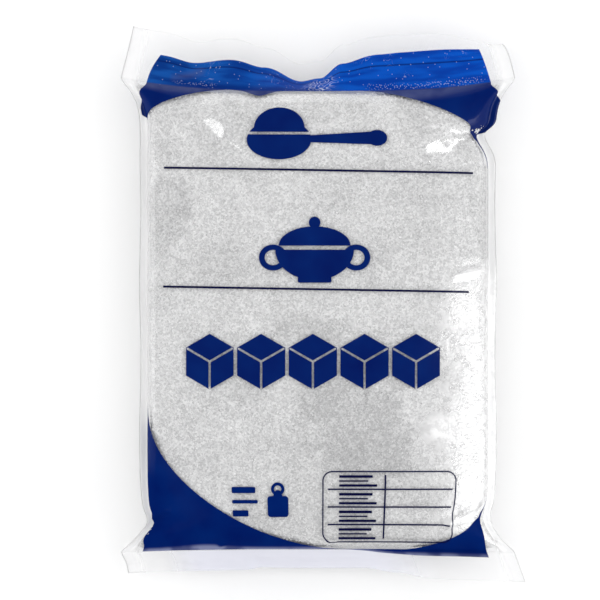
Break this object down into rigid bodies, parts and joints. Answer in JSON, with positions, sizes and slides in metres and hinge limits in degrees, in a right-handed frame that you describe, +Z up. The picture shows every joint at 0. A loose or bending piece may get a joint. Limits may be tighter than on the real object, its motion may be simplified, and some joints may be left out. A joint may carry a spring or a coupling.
{
  "type": "sugar packet",
  "caption": "Clear film pillow packet tightly filled with white granulated sugar, welded flat at both ends and printed in blue, lying on its back.",
  "frame": {"origin": "on the floor, under the middle of the packet's box", "axes": "+Z up out of the printed front, +Y towards the top weld, +X to the right as the print is read"},
  "size_m": [0.1814, 0.2494, 0.0435],
  "materials": {
    "filled_film": "clear glossy film tight over white granulated sugar, with blue print at the top and bottom"
  },
  "bodies": {
    "root": {"filled_bag": "filled_film"}
  },
  "joints": []
}
